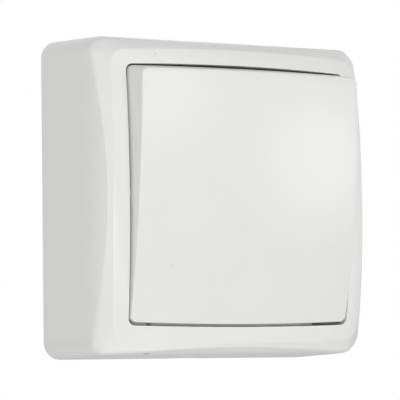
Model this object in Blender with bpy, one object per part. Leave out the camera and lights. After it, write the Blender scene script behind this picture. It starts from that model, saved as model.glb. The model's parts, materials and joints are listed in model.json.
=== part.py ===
# Surface mounted rocker light switch
#
# The wall is the plane y = 0 and the front of the switch looks towards -Y. X runs to the right and Z up.
# In the comments and names, depth is the distance from the wall, so a point at depth d has y = -d.
# All sizes are in metres and all angles in degrees.

import math

import bmesh
import bpy
from mathutils import Vector

# Fits
TOUCH_GAP = 0.0003            # between pieces that rest on each other
SLIDE_GAP = 0.0003            # around the plunger in its tube
PIVOT_GAP = 0.00025           # around the trunnions in their ears

# Housing, outside
BODY_SIDE = 0.0760            # width and height at the wall
BACK_CORNER_RADIUS = 0.0048
FRONT_DEPTH = 0.0319          # depth of the domed front at its centre
FRONT_DROP = 0.00364          # how far the dome falls over half a side
BEVEL_DROP_MIDDLE = 0.00462   # from the dome's centre back to the wall's front end, at the middle of a side
BEVEL_DROP_CORNER = 0.01014   # the same at a corner
WALL_DRAW = 0.00249           # how far the barrelled wall has drawn in at its front end, in the middle
WALL_BARREL_POWER = 6.16      # how late it turns in
RING_INSET_MIDDLE = 0.00346   # from the side at the wall to the ring's outer edge
RING_INSET_CORNER = 0.00442
RING_CORNER_RADIUS = 0.0040
RING_WIDTH_MIDDLE = 0.00374   # from the ring's outer edge to the opening
RING_WIDTH_CORNER = 0.00358
RING_DROP = 0.00032           # how far the ring's outer edge lies behind the dome
OPENING_CORNER_RADIUS = 0.0017
EDGE_ROUND = 0.0004           # rounding on the moulded edges

# Housing, inside
WALL_THICKNESS = 0.0022
FRONT_THICKNESS = 0.0024
LIP_DROP = 0.00776            # from the dome's centre back to the end of the lip round the opening
LIP_THICKNESS = 0.0016
LEDGE_CLEARANCE = 0.0014      # from the ledge to the skirt when that side is in
LEDGE_THICKNESS = 0.0016
LEDGE_REACH = 0.0040          # how far the ledge stands in from the lip
LEDGE_HALF_LENGTH = 0.0260
LEDGE_NOTCH_WIDTH = 0.0012    # a narrow notch in the lower ledge
LEDGE_NOTCH_OFFSET = 0.0200   # from the middle, towards -X
CENTRING_RIB_PROUD = 0.00035
CENTRING_RIB_HEIGHT = 0.0030
KNOCKOUT_WIDTH = 0.0160
KNOCKOUT_DEPTH = 0.0150
KNOCKOUT_SKIN = 0.0008
PRY_SLOT_WIDTH = 0.0080
PRY_SLOT_DEPTH = 0.0014

# Rocker cap
ROCKER_GAP_END = 0.0009       # from the opening to the rocker, at the middle of the top and the bottom
ROCKER_GAP_SIDE = 0.0006      # the same at the left and the right
ROCKER_GAP_CORNER = 0.00073   # at a corner, towards the top and the bottom
ROCKER_PROUD = 0.00329        # how far the rocker's dome stands above the ring's
ROCKER_CORNER_RADIUS = 0.0015
ROCKER_EDGE_ROUND = 0.0004
SKIRT_LENGTH = 0.0050         # from the tilt axis back to the skirt's end
CAP_THICKNESS = 0.0020
PIVOT_DROP = 0.0034           # from the dome's centre back to the rocker's tilt axis
ROCKER_TILT = 6.5             # each way from level; the rocker stands with its top out

# Mechanism body
MECHANISM_CORNER_RADIUS = 0.0015
STANDOFF_HEIGHT = 0.0020
MECHANISM_FLOOR = 0.0030      # plastic under the contact strips
SWING_CLEARANCE = 0.0015      # from the mechanism's front face to the rocker's clips, swung in
OUTER_WEB = 0.0015            # plastic outside the terminal wells
CHANNEL_SIDE_GAP = 0.0006     # beside the moving contact
CHANNEL_END_GAP = 0.0012
CHANNEL_END_WEB = 0.0034      # plastic beyond the channel's ends
EAR_GAP = 0.0007              # between cradle and ear
EAR_THICKNESS = 0.0020
EAR_RIM = 0.00145             # plastic round the trunnion's hole

# Cradle, plunger and spring
CRADLE_HALF_WIDTH = 0.0076
CRADLE_HALF_HEIGHT = 0.0080
CRADLE_THICKNESS = 0.0024
TRUNNION_RADIUS = 0.0015
TUBE_WALL = 0.0009
TUBE_STANDOFF = 0.0055        # from the see-saw's axis to the tube's open end
TUBE_ROOF = 0.0007            # plastic left at the tube's closed end
GUSSET_REACH = 0.0030         # how far a gusset stands out from the tube
GUSSET_THICKNESS = 0.0010
PLUNGER_RADIUS = 0.0016
PLUNGER_TIP_RADIUS = 0.0012
PLUNGER_NECK = 0.0005         # from the guide to the tip's centre
SPRING_SHARE = 0.57           # of the length inside the tube and plunger that the spring takes
PIN_SHARE = 0.38              # of the spring's length that the plunger's pin fills
SPRING_WIRE_RADIUS = 0.00025
SPRING_TURNS = 6
TIP_CLEARANCE = 0.00035       # from the plunger to the moving contact at either end of the tilt
TIP_MIDWAY_CLEARANCE = 0.00007  # the same as it passes over the middle

# Contacts and terminals
STRIP_THICKNESS = 0.0010
STRIP_HALF_WIDTH = 0.0022
FULCRUM_RADIUS = 0.0006
FULCRUM_HALF_WIDTH = 0.0017
CONTACT_TILT = 8.0            # each way from level
CONTACT_ARM = 0.0115          # from the rocking axis to a contact rivet
CONTACT_THICKNESS = 0.0010
CONTACT_SIDE_THICKNESS = 0.0008
CONTACT_SIDE_HEIGHT = 0.0020
CONTACT_SIDE_HALF_LENGTH = 0.0030
CONTACT_END = 0.0019          # strip beyond the rivet's centre
RIVET_HEAD_RADIUS = 0.0015
RIVET_HEAD_HEIGHT = 0.0008
RIVET_SHANK_RADIUS = 0.0006
RIVET_RIM_SHARE = 0.7         # of the head's height that its rim is high
RIVET_SHOULDER_SHARE = 0.93   # of the head's height where the crown flattens
RIVET_CROWN_SHARE = 0.6       # of the head's radius where it does
PAD_SIZE = 0.0070
WELL_MARGIN = 0.0007          # around a terminal pad
WIRE_SPACE = 0.0024           # between strip and open clamp plate
CLAMP_SIZE = 0.0064
CLAMP_THICKNESS = 0.0012

# Screws
TERMINAL_SCREW_RADIUS = 0.0015
TERMINAL_HEAD_RADIUS = 0.0026
TERMINAL_HEAD_HEIGHT = 0.0018
TERMINAL_SCREW_TAIL = 0.0020  # screw beyond the strip's back
MECHANISM_SCREW_RADIUS = 0.0013
MECHANISM_HEAD_RADIUS = 0.0024
MECHANISM_HEAD_HEIGHT = 0.0016
MECHANISM_HEAD_GAP = 0.0023   # from the pivot ear to the screw's head
MECHANISM_SCREW_EDGE = 0.0060  # from the screw to the mechanism's side
SCREW_HOLE_GAP = 0.0003
SCREW_SLOT_WIDTH = 0.0008
SCREW_SLOT_DEPTH = 0.0007
SCREW_TIP_SHARE = 0.7         # of the shank's radius left at its end
SCREW_POINT_SHARE = 0.4       # of the shank's radius that its chamfered end is long
SCREW_RIM_SHARE = 0.6         # of the head's height that its rim is high
SCREW_TOP_SHARE = 0.8         # of the head's radius that its flat top has

# Base plate
PLATE_THICKNESS = 0.0020
PLATE_GAP = 0.0003            # to the housing
BOSS_RADIUS = 0.0032
BOSS_SKIN = 0.0008            # plastic behind a screw's blind hole
WALL_SLOT_EDGE = 0.0055       # from the plate's side to a wall screw slot's centre
WALL_SLOT_WIDTH = 0.0045
WALL_SLOT_LENGTH = 0.0090
CABLE_ENTRY_WIDTH = 0.0180
CABLE_ENTRY_HEIGHT = 0.0105
CABLE_ENTRY_EDGE = 0.0040     # plate left beyond the cable entry
CABLE_ENTRY_OFFSET = 0.0180   # from the middle, towards -X
SNAP_ARM_WIDTH = 0.0080
SNAP_ARM_THICKNESS = 0.0014
SNAP_ARM_TOP = 0.0090
SNAP_NOSE_PROUD = 0.0008
SNAP_NOSE_HEIGHT = 0.0020
SNAP_ARM_OFFSET = 0.0180      # from the middle of the side
PLATE_RIB_THICKNESS = 0.0012
PLATE_RIB_HEIGHT = 0.0016
SLOT_END_FLAT = 0.00005       # left flat in the middle of a slot's round end

# Rocker's clips and ribs
CLIP_HALF_WIDTH = 0.0050
CLIP_THICKNESS = 0.0013
CLIP_NOSE = 0.0008
CLIP_NOSE_HEIGHT = 0.0009
SUPPORT_RIB_OFFSET = 0.0050
SUPPORT_RIB_THICKNESS = 0.0012
SUPPORT_RIB_INSET = 0.0009    # from the clips to the support ribs' ends
STIFFENER_OFFSET = 0.0150     # from the tilt axis to a stiffening rib across the cap
STIFFENER_THICKNESS = 0.0012
STIFFENER_HEIGHT = 0.0030     # from the middle of the cap's thickness

# Mesh fineness
SIDE_STEPS = 10
CORNER_STEPS = 5
ROUND_SIDES = 20
FINE_SIDES = 12
OUTER_WALL_SHARES = (0.0, 0.35, 0.6, 0.78, 0.9, 1.0)  # loops of the wall, from the back to the bevel
INNER_WALL_SHARES = (1.0, 0.6, 0.0)
CAP_FACE_SHARES = (0.86, 0.68, 0.46, 0.24, 0.06)      # rings of the rocker's face, towards its centre
CAP_UNDER_SHARES = (0.06, 0.5)
SPRING_STEPS = 14             # points in each turn
RIB_STEPS = 8
PLUNGER_TIP_STEPS = 5
STIFFENER_STEPS = 8
CORNER_POWER = 8              # how close to a corner a wall's draw turns diagonal
SHARP_ANGLE = 30
BOOLEAN_REACH = 0.0005        # how far a cutter or a joined piece runs past the face it meets

# Sizes that follow from the ones above
BODY_HALF = BODY_SIDE / 2
RING_HALF_MIDDLE = BODY_HALF - RING_INSET_MIDDLE
RING_HALF_CORNER = BODY_HALF - RING_INSET_CORNER
OPENING_HALF_MIDDLE = RING_HALF_MIDDLE - RING_WIDTH_MIDDLE
OPENING_HALF_CORNER = RING_HALF_CORNER - RING_WIDTH_CORNER
ROCKER_HALF_MIDDLE = OPENING_HALF_MIDDLE - ROCKER_GAP_END
ROCKER_HALF_CORNER = OPENING_HALF_CORNER - ROCKER_GAP_CORNER
ROCKER_STRETCH = (OPENING_HALF_MIDDLE - ROCKER_GAP_SIDE) / ROCKER_HALF_MIDDLE  # its width by its height
PLATE_HALF = BODY_HALF - WALL_THICKNESS - PLATE_GAP
BEVEL_START_MIDDLE = FRONT_DEPTH - BEVEL_DROP_MIDDLE
BEVEL_START_CORNER = FRONT_DEPTH - BEVEL_DROP_CORNER
LIP_DEPTH = FRONT_DEPTH - LIP_DROP
PIVOT_DEPTH = FRONT_DEPTH - PIVOT_DROP
TILT = math.radians(ROCKER_TILT)
ROCK = math.radians(CONTACT_TILT)

# The ledge lies behind the skirt's end and the mechanism behind the clips, with the rocker tilted that way.
SKIRT_REACH = SKIRT_LENGTH * math.cos(TILT) + ROCKER_HALF_MIDDLE * math.sin(TILT)
LEDGE_FRONT = PIVOT_DEPTH - SKIRT_REACH - LEDGE_CLEARANCE
LEDGE_DEPTH = LEDGE_FRONT - LEDGE_THICKNESS
CRADLE_HALF_THICKNESS = CRADLE_THICKNESS / 2
CLIP_INNER = CRADLE_HALF_HEIGHT + TOUCH_GAP
CLIP_OUTER = CLIP_INNER + CLIP_THICKNESS
CLIP_END = CRADLE_HALF_THICKNESS + TOUCH_GAP + CLIP_NOSE_HEIGHT
CLIP_REACH = CLIP_END * math.cos(TILT) + CLIP_OUTER * math.sin(TILT)
MECHANISM_FRONT = PIVOT_DEPTH - CLIP_REACH - SWING_CLEARANCE

MECHANISM_BACK = PLATE_THICKNESS + STANDOFF_HEIGHT + TOUCH_GAP
RECESS_FLOOR = MECHANISM_BACK + MECHANISM_FLOOR
STRIP_BACK = RECESS_FLOOR + TOUCH_GAP
STRIP_FRONT = STRIP_BACK + STRIP_THICKNESS
SPLIT_DEPTH = STRIP_FRONT + TOUCH_GAP
COVER_BACK = SPLIT_DEPTH + TOUCH_GAP

# The see-saw's own pieces are placed from its rocking axis.
CONTACT_BACK = FULCRUM_RADIUS + TOUCH_GAP
CONTACT_FRONT = CONTACT_BACK + CONTACT_THICKNESS
CONTACT_HALF_WIDTH = FULCRUM_HALF_WIDTH + TOUCH_GAP + CONTACT_SIDE_THICKNESS
RIVET_HOLE_RADIUS = RIVET_SHANK_RADIUS + TOUCH_GAP
MOVING_TIP_SEAT = CONTACT_BACK - TOUCH_GAP
MOVING_TIP_FACE = MOVING_TIP_SEAT - RIVET_HEAD_HEIGHT

# The rocking axis stands so high that a closed pair of rivets just meets.
CLOSED_REACH = (CONTACT_ARM + RIVET_HEAD_RADIUS) * math.sin(ROCK) - MOVING_TIP_FACE * math.cos(ROCK)
FIXED_TIP_SEAT = STRIP_FRONT + TOUCH_GAP
FIXED_TIP_FACE = FIXED_TIP_SEAT + RIVET_HEAD_HEIGHT
FULCRUM_DEPTH = FIXED_TIP_FACE + TOUCH_GAP + CLOSED_REACH

# With rocker and see-saw fully over, the tip's centre stands off the contact's front face:
# (distance - s cos a) cos b + s sin a sin b = stand-off, for the length s behind the tilt axis.
AXIS_DISTANCE = PIVOT_DEPTH - FULCRUM_DEPTH
TIP_REST = CONTACT_FRONT + PLUNGER_TIP_RADIUS
TIP_CENTRE_AT_END = (AXIS_DISTANCE * math.cos(ROCK) - TIP_REST - TIP_CLEARANCE) / math.cos(TILT + ROCK)
TIP_CENTRE_MIDWAY = AXIS_DISTANCE - TIP_REST - TIP_MIDWAY_CLEARANCE
TIP_CENTRE = min(TIP_CENTRE_AT_END, TIP_CENTRE_MIDWAY)

TUBE_BORE_RADIUS = PLUNGER_RADIUS + SLIDE_GAP
TUBE_RADIUS = TUBE_BORE_RADIUS + TUBE_WALL
TUBE_END = FULCRUM_DEPTH + TUBE_STANDOFF - PIVOT_DEPTH
TUBE_CEILING = CRADLE_HALF_THICKNESS - TUBE_ROOF
GUIDE_END = TIP_CENTRE - PLUNGER_NECK
SPRING_LENGTH = (GUIDE_END + TUBE_CEILING) * SPRING_SHARE
GUIDE_START = SPRING_LENGTH - TUBE_CEILING
PIN_LENGTH = SPRING_LENGTH * PIN_SHARE
SPRING_RADIUS = PLUNGER_RADIUS - SPRING_WIRE_RADIUS
PIN_RADIUS = SPRING_RADIUS - SPRING_WIRE_RADIUS - TOUCH_GAP

EAR_INNER = CRADLE_HALF_WIDTH + EAR_GAP
EAR_OUTER = EAR_INNER + EAR_THICKNESS
EAR_HOLE_RADIUS = TRUNNION_RADIUS + PIVOT_GAP
EAR_RADIUS = EAR_HOLE_RADIUS + EAR_RIM
CHANNEL_HALF_WIDTH = CONTACT_HALF_WIDTH + CHANNEL_SIDE_GAP
CHANNEL_HALF_HEIGHT = CONTACT_ARM + CONTACT_END + CHANNEL_END_GAP
MECHANISM_SCREW_X = EAR_OUTER + MECHANISM_HEAD_GAP + MECHANISM_HEAD_RADIUS
MECHANISM_HALF_WIDTH = MECHANISM_SCREW_X + MECHANISM_SCREW_EDGE
MECHANISM_HALF_HEIGHT = CHANNEL_HALF_HEIGHT + CHANNEL_END_WEB
WELL_HALF = PAD_SIZE / 2 + WELL_MARGIN
TERMINAL_X = MECHANISM_HALF_WIDTH - OUTER_WEB - WELL_HALF
TERMINAL_Z = MECHANISM_HALF_HEIGHT - OUTER_WEB - WELL_HALF
STRIP_HOLE_RADIUS = TERMINAL_SCREW_RADIUS + SCREW_HOLE_GAP
MECHANISM_HOLE_RADIUS = MECHANISM_SCREW_RADIUS + SCREW_HOLE_GAP
CLAMP_BACK = STRIP_FRONT + WIRE_SPACE
CLAMP_FRONT = CLAMP_BACK + CLAMP_THICKNESS
TERMINAL_SCREW_END = STRIP_BACK - TERMINAL_SCREW_TAIL
TERMINALS = {
    "common": (-TERMINAL_X, -TERMINAL_Z),
    "upper": (TERMINAL_X, TERMINAL_Z),
    "lower": (TERMINAL_X, -TERMINAL_Z),
}
CAP_ROOT = FRONT_DEPTH + ROCKER_PROUD - CAP_THICKNESS / 2 - PIVOT_DEPTH


def clear_scene():
    for old in list(bpy.data.objects):
        bpy.data.objects.remove(old, do_unlink=True)


def point(x, depth, z):
    return Vector((x, -depth, z))


def material(name, colour, roughness, metallic=0.0):
    mat = bpy.data.materials.new(name)
    mat.use_nodes = True
    shader = mat.node_tree.nodes["Principled BSDF"]
    shader.inputs["Base Color"].default_value = (*colour, 1.0)
    shader.inputs["Roughness"].default_value = roughness
    shader.inputs["Metallic"].default_value = metallic
    return mat


def empty(name, place, tilt=0.0):
    guide = bpy.data.objects.new(name, None)
    guide.location = place
    guide.rotation_euler = (tilt, 0.0, 0.0)
    bpy.context.scene.collection.objects.link(guide)
    return guide


def place_mesh(name, bm, mat=None, parent=None, smooth=False):
    bmesh.ops.recalc_face_normals(bm, faces=bm.faces)
    mesh = bpy.data.meshes.new(name)
    bm.to_mesh(mesh)
    bm.free()
    if mat:
        mesh.materials.append(mat)
    if smooth:
        mesh.shade_smooth()
        mesh.set_sharp_from_angle(angle=math.radians(SHARP_ANGLE))
    obj = bpy.data.objects.new(name, mesh)
    obj.parent = parent
    bpy.context.scene.collection.objects.link(obj)
    return obj


def combine(obj, helper, operation):
    # The helper stays in the file as a wire guide and isn't part of the model.
    helper.hide_render = True
    helper.display_type = "WIRE"
    helper.parent = obj.parent
    step = obj.modifiers.new(helper.name, "BOOLEAN")
    step.operation = operation
    step.solver = "EXACT"
    step.object = helper


def cut(obj, helper):
    combine(obj, helper, "DIFFERENCE")


def join(obj, helper):
    combine(obj, helper, "UNION")


def prism(name, outline, low, high, along="depth", **kwargs):
    # An outline pushed along one axis: (x, z) along depth, (depth, z) along x, (x, depth) along z.
    bm = bmesh.new()
    ends = []
    for level in (low, high):
        verts = []
        for a, b in outline:
            if along == "depth":
                verts.append(bm.verts.new(point(a, level, b)))
            elif along == "x":
                verts.append(bm.verts.new(point(level, a, b)))
            else:
                verts.append(bm.verts.new(point(a, b, level)))
        ends.append(verts)
    bm.faces.new(ends[0])
    bm.faces.new(ends[1])
    count = len(outline)
    for i in range(count):
        j = (i + 1) % count
        bm.faces.new((ends[0][i], ends[0][j], ends[1][j], ends[1][i]))
    return place_mesh(name, bm, **kwargs)


def rectangle(x0, x1, y0, y1):
    return [(x0, y0), (x1, y0), (x1, y1), (x0, y1)]


def rounded_rectangle(half_x, half_z, radius, centre=(0.0, 0.0), steps=4):
    outline = []
    corners = ((1, 1, 0), (-1, 1, 90), (-1, -1, 180), (1, -1, 270))
    for side_x, side_z, start in corners:
        for i in range(steps + 1):
            angle = math.radians(start + 90 * i / steps)
            x = side_x * (half_x - radius) + radius * math.cos(angle)
            z = side_z * (half_z - radius) + radius * math.sin(angle)
            outline.append((centre[0] + x, centre[1] + z))
    return outline


def circle(radius, sides, centre=(0.0, 0.0)):
    turn = 2 * math.pi / sides
    return [(centre[0] + radius * math.cos(turn * (i + 0.5)), centre[1] + radius * math.sin(turn * (i + 0.5)))
            for i in range(sides)]


def round_topped(root, centre, radius):
    # A wall seen from its end, as (depth, z): straight from root to centre, then half round.
    outline = [(root, -radius)]
    for i in range(FINE_SIDES + 1):
        angle = math.pi * (i / FINE_SIDES - 0.5)
        outline.append((centre + radius * math.cos(angle), radius * math.sin(angle)))
    return outline + [(root, radius)]


def turned(name, profile, x, z, sides=ROUND_SIDES, **kwargs):
    # A solid of revolution about the depth direction at (x, z), from (radius, depth) points.
    bm = bmesh.new()
    rings = []
    for radius, depth in profile:
        if radius == 0:
            rings.append([bm.verts.new(point(x, depth, z))])
        else:
            rings.append([bm.verts.new(point(a, depth, b)) for a, b in circle(radius, sides, (x, z))])
    for near, far in zip(rings, rings[1:]):
        for i in range(sides):
            j = (i + 1) % sides
            if len(near) == 1:
                bm.faces.new((near[0], far[j], far[i]))
            elif len(far) == 1:
                bm.faces.new((near[i], near[j], far[0]))
            else:
                bm.faces.new((near[i], near[j], far[j], far[i]))
    for ring in (rings[0], rings[-1]):
        if len(ring) > 1:
            bm.faces.new(ring)
    return place_mesh(name, bm, smooth=True, **kwargs)


def loft(name, loops, closed, **kwargs):
    # A skin over loops of equal length. Closed runs the last loop back to the first;
    # otherwise both end loops are filled.
    bm = bmesh.new()
    rings = [[bm.verts.new(p) for p in loop] for loop in loops]
    pairs = list(zip(rings, rings[1:]))
    if closed:
        pairs.append((rings[-1], rings[0]))
    for near, far in pairs:
        count = len(near)
        for i in range(count):
            j = (i + 1) % count
            bm.faces.new((near[i], near[j], far[j], far[i]))
    if not closed:
        bm.faces.new(rings[0])
        bm.faces.new(rings[-1])
    return place_mesh(name, bm, smooth=True, **kwargs)


def bulged_square(middle, corner, radius, reach):
    # A rounded square whose sides bow out: the half width is middle at the centre of a side
    # and would fall to corner at the distance reach along it. Returns (x, z) points.
    fall = (corner - middle) / reach ** 2

    def half(t):
        return middle + fall * t * t

    # The corner arc of the given radius touches the side at the distance t from its middle.
    t = middle - radius
    for _ in range(20):
        lean = math.atan(-2 * fall * t)
        t = half(t) + radius * (math.sin(lean) - math.cos(lean))
    centre = t - radius * math.sin(lean)
    quarter = []
    for i in range(SIDE_STEPS):
        s = t * (2 * i / SIDE_STEPS - 1)
        quarter.append((half(s), s))
    for i in range(CORNER_STEPS + 1):
        angle = lean + (math.pi / 2 - 2 * lean) * i / CORNER_STEPS
        quarter.append((centre + radius * math.cos(angle), centre + radius * math.sin(angle)))
    outline = []
    for turn in range(4):
        for x, z in quarter[:-1]:
            for _ in range(turn):
                x, z = -z, x
            outline.append((x, z))
    return outline


def dome_depth(x, z):
    return FRONT_DEPTH - FRONT_DROP * (x * x + z * z) / BODY_HALF ** 2


def bevel_start(x, z):
    along = min(abs(x), abs(z)) / BODY_HALF
    return BEVEL_START_MIDDLE + (BEVEL_START_CORNER - BEVEL_START_MIDDLE) * along ** 2


def wall_draw(depth):
    return WALL_DRAW * (depth / BEVEL_START_MIDDLE) ** WALL_BARREL_POWER


def drawn_in(outline, amount):
    # Moves each point in by the amount given for it, square to the nearer side. A corner moves
    # along its diagonal, and the power keeps the blend between the two close to the corner.
    moved = []
    for x, z in outline:
        reach = max(abs(x), abs(z))
        step_x = amount(x, z) * (abs(x) / reach) ** CORNER_POWER
        step_z = amount(x, z) * (abs(z) / reach) ** CORNER_POWER
        moved.append((x - math.copysign(step_x, x), z - math.copysign(step_z, z)))
    return moved


def grown_square(middle, corner, radius, growth):
    return bulged_square(middle + growth, corner + growth, radius + growth, BODY_HALF)


def wall_loop(outline, share, inset):
    # The loop of a drawn-in wall at a share of the way to the bevel, less an inset in depth.
    def depth(x, z):
        return share * (bevel_start(x, z) - inset)

    drawn = drawn_in(outline, lambda x, z: wall_draw(depth(x, z)))
    return [point(a, depth(x, z), b) for (a, b), (x, z) in zip(drawn, outline)]


def front_loop(outline, below):
    # A loop that follows the dome, at a distance behind it.
    return [point(x, dome_depth(x, z) - below, z) for x, z in outline]


def housing_loops():
    ring = (RING_HALF_MIDDLE, RING_HALF_CORNER, RING_CORNER_RADIUS)
    opening = (OPENING_HALF_MIDDLE, OPENING_HALF_CORNER, OPENING_CORNER_RADIUS)
    back = bulged_square(BODY_HALF, BODY_HALF, BACK_CORNER_RADIUS, BODY_HALF)
    inner_half = BODY_HALF - WALL_THICKNESS
    inner = bulged_square(inner_half, inner_half, BACK_CORNER_RADIUS - WALL_THICKNESS, BODY_HALF)
    opening_edge = grown_square(*opening, 0.0)
    lip_outside = grown_square(*opening, LIP_THICKNESS)
    loops = [wall_loop(back, share, 0.0) for share in OUTER_WALL_SHARES]
    loops.append(front_loop(grown_square(*ring, 0.0), RING_DROP + EDGE_ROUND))
    loops.append(front_loop(grown_square(*ring, -EDGE_ROUND), RING_DROP))
    loops.append(front_loop(grown_square(*opening, EDGE_ROUND), 0.0))
    loops.append(front_loop(opening_edge, EDGE_ROUND))
    loops.append([point(x, LIP_DEPTH, z) for x, z in opening_edge])
    loops.append([point(x, LIP_DEPTH, z) for x, z in lip_outside])
    loops.append(front_loop(lip_outside, FRONT_THICKNESS))
    loops.append(front_loop(grown_square(*ring, -WALL_THICKNESS / 2), FRONT_THICKNESS))
    loops += [wall_loop(inner, share, WALL_THICKNESS) for share in INNER_WALL_SHARES]
    return loops


def ledge_profile(side):
    # A hanger that carries on from the lip and a ledge turned in from it, as (depth, z).
    outer = OPENING_HALF_MIDDLE + LIP_THICKNESS - TOUCH_GAP
    inner = OPENING_HALF_MIDDLE + EDGE_ROUND / 2
    shelf = OPENING_HALF_MIDDLE - LEDGE_REACH
    top = LIP_DEPTH + BOOLEAN_REACH
    return [(LEDGE_DEPTH, side * outer), (LEDGE_DEPTH, side * shelf), (LEDGE_FRONT, side * shelf),
            (LEDGE_FRONT, side * inner), (top, side * inner), (top, side * outer)]


def centring_rib(name, side):
    # A low half-round rib that keeps the rocker centred at its tilt axis.
    half = CENTRING_RIB_HEIGHT / 2
    radius = (half ** 2 + CENTRING_RIB_PROUD ** 2) / (2 * CENTRING_RIB_PROUD)
    spread = math.asin(half / radius)
    outline = []
    for i in range(RIB_STEPS + 1):
        angle = spread * (2 * i / RIB_STEPS - 1)
        sag = radius * math.cos(angle) - (radius - CENTRING_RIB_PROUD)
        outline.append((side * (OPENING_HALF_MIDDLE - sag), radius * math.sin(angle)))
    root = OPENING_HALF_MIDDLE + BOOLEAN_REACH
    outline.append((side * root, half))
    outline.insert(0, (side * root, -half))
    top = dome_depth(OPENING_HALF_MIDDLE, half) - EDGE_ROUND - TOUCH_GAP
    return prism(name, outline, LIP_DEPTH + TOUCH_GAP, top)


def snap_places():
    return [(offset, side) for side in (-1, 1) for offset in (-SNAP_ARM_OFFSET, SNAP_ARM_OFFSET)]


def make_housing(mat):
    housing = loft("housing", housing_loops(), closed=True, mat=mat)
    for side, word in ((1, "upper"), (-1, "lower")):
        join(housing, prism(f"{word}_ledge", ledge_profile(side), -LEDGE_HALF_LENGTH, LEDGE_HALF_LENGTH, "x"))
    half = LEDGE_NOTCH_WIDTH / 2
    outline = rectangle(-LEDGE_NOTCH_OFFSET - half, -LEDGE_NOTCH_OFFSET + half, -OPENING_HALF_MIDDLE,
                        LEDGE_REACH + BOOLEAN_REACH - OPENING_HALF_MIDDLE)
    cut(housing, prism("ledge_notch", outline, LEDGE_DEPTH - BOOLEAN_REACH, LEDGE_FRONT + BOOLEAN_REACH))
    for side, word in ((1, "right"), (-1, "left")):
        join(housing, centring_rib(f"{word}_centring_rib", side))
    inner = BODY_HALF - WALL_THICKNESS
    for number, (offset, side) in enumerate(snap_places()):
        half = SNAP_ARM_WIDTH / 2 + TOUCH_GAP
        outline = rectangle(offset - half, offset + half, side * (inner - BOOLEAN_REACH),
                            side * (PLATE_HALF + SNAP_NOSE_PROUD + TOUCH_GAP))
        low = SNAP_ARM_TOP - SNAP_NOSE_HEIGHT - TOUCH_GAP
        cut(housing, prism(f"snap_recess_{number}", outline, low, SNAP_ARM_TOP + TOUCH_GAP))
    half = KNOCKOUT_WIDTH / 2
    outline = rectangle(-half, half, inner - BOOLEAN_REACH, BODY_HALF - KNOCKOUT_SKIN)
    cut(housing, prism("knockout_pocket", outline, -BOOLEAN_REACH, KNOCKOUT_DEPTH))
    half = PRY_SLOT_WIDTH / 2
    outline = rectangle(-half, half, -inner + BOOLEAN_REACH, -BODY_HALF - BOOLEAN_REACH)
    cut(housing, prism("pry_slot", outline, -BOOLEAN_REACH, PRY_SLOT_DEPTH))


def make_base_plate(mat):
    outline = rounded_rectangle(PLATE_HALF, PLATE_HALF, BACK_CORNER_RADIUS - WALL_THICKNESS)
    plate = prism("base_plate", outline, 0.0, PLATE_THICKNESS, mat=mat)
    low = PLATE_THICKNESS - BOOLEAN_REACH
    high = PLATE_THICKNESS + STANDOFF_HEIGHT
    half = PLATE_RIB_THICKNESS / 2
    rib_top = PLATE_THICKNESS + PLATE_RIB_HEIGHT
    across = rectangle(-MECHANISM_SCREW_X, MECHANISM_SCREW_X, -half, half)
    upright = rectangle(-half, half, -TERMINAL_Z, TERMINAL_Z)
    join(plate, prism("plate_rib_across", across, low, rib_top))
    join(plate, prism("plate_rib_upright", upright, low, rib_top))
    for number, x in enumerate((-MECHANISM_SCREW_X, MECHANISM_SCREW_X)):
        join(plate, turned(f"screw_boss_{number}", [(BOSS_RADIUS, low), (BOSS_RADIUS, high)], x, 0.0))
        radius = MECHANISM_SCREW_RADIUS + SCREW_HOLE_GAP
        hole = [(radius, BOSS_SKIN), (radius, high + BOOLEAN_REACH)]
        cut(plate, turned(f"screw_boss_hole_{number}", hole, x, 0.0, FINE_SIDES))
    for number, z in enumerate((-TERMINAL_Z, TERMINAL_Z)):
        join(plate, turned(f"standoff_{number}", [(BOSS_RADIUS, low), (BOSS_RADIUS, high)], 0.0, z))
    for number, side in enumerate((-1, 1)):
        centre = (side * (PLATE_HALF - WALL_SLOT_EDGE), 0.0)
        end_radius = WALL_SLOT_WIDTH / 2 - SLOT_END_FLAT
        slot = rounded_rectangle(WALL_SLOT_WIDTH / 2, WALL_SLOT_LENGTH / 2, end_radius, centre)
        cut(plate, prism(f"wall_slot_{number}", slot, -BOOLEAN_REACH, PLATE_THICKNESS + BOOLEAN_REACH))
    centre = (-CABLE_ENTRY_OFFSET, PLATE_HALF - CABLE_ENTRY_EDGE - CABLE_ENTRY_HEIGHT / 2)
    entry = rounded_rectangle(CABLE_ENTRY_WIDTH / 2, CABLE_ENTRY_HEIGHT / 2, OPENING_CORNER_RADIUS, centre)
    cut(plate, prism("cable_entry", entry, -BOOLEAN_REACH, PLATE_THICKNESS + BOOLEAN_REACH))
    for number, (offset, side) in enumerate(snap_places()):
        foot = PLATE_THICKNESS - BOOLEAN_REACH
        inner = PLATE_HALF - SNAP_ARM_THICKNESS
        nose = SNAP_ARM_TOP - SNAP_NOSE_HEIGHT
        arm = [(foot, side * inner), (foot, side * PLATE_HALF), (nose, side * PLATE_HALF),
               (nose, side * (PLATE_HALF + SNAP_NOSE_PROUD)), (SNAP_ARM_TOP, side * PLATE_HALF),
               (SNAP_ARM_TOP, side * inner)]
        half = SNAP_ARM_WIDTH / 2
        join(plate, prism(f"snap_arm_{number}", arm, offset - half, offset + half, "x"))


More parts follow.
